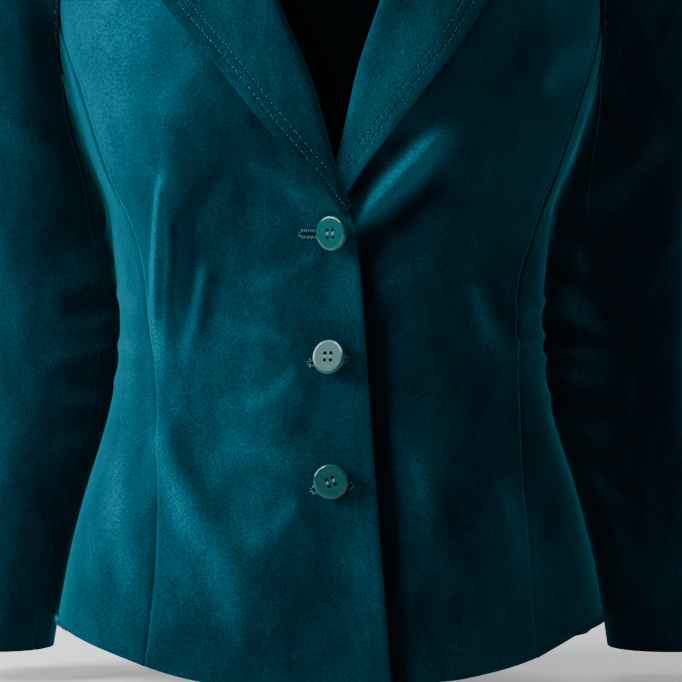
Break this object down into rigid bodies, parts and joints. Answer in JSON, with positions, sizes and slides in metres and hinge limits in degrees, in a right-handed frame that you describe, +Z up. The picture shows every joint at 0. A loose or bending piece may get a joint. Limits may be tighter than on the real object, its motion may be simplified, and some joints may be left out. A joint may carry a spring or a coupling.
{
  "type": "velvet blazer",
  "caption": "Fitted hip-length velvet blazer with notched lapels, princess seams, two-piece sleeves and a buttoned front, filled out as worn.",
  "frame": {"origin": "midway between the two neck points, where the shoulder seams meet the collar, at the height the garment hangs from the shoulders", "axes": "+X to the wearer's left, +Y to the wearer's back, +Z up; the front faces -Y"},
  "size_m": [0.544, 0.2689, 0.6842],
  "materials": {
    "velvet": "deep teal velvet with a short upright pile, dark face on and bright at grazing angles",
    "button": "glossy teal polyester button"
  },
  "bodies": {
    "root": {"front_right": "velvet", "side_right": "velvet", "back_right": "velvet", "lapel_right": "velvet", "sleeve_upper_right": "velvet", "sleeve_under_right": "velvet", "front_left": "velvet", "side_left": "velvet", "back_left": "velvet", "lapel_left": "velvet", "sleeve_upper_left": "velvet", "sleeve_under_left": "velvet", "collar": "velvet", "button_top": "button", "button_middle": "button", "button_bottom": "button"}
  },
  "joints": []
}
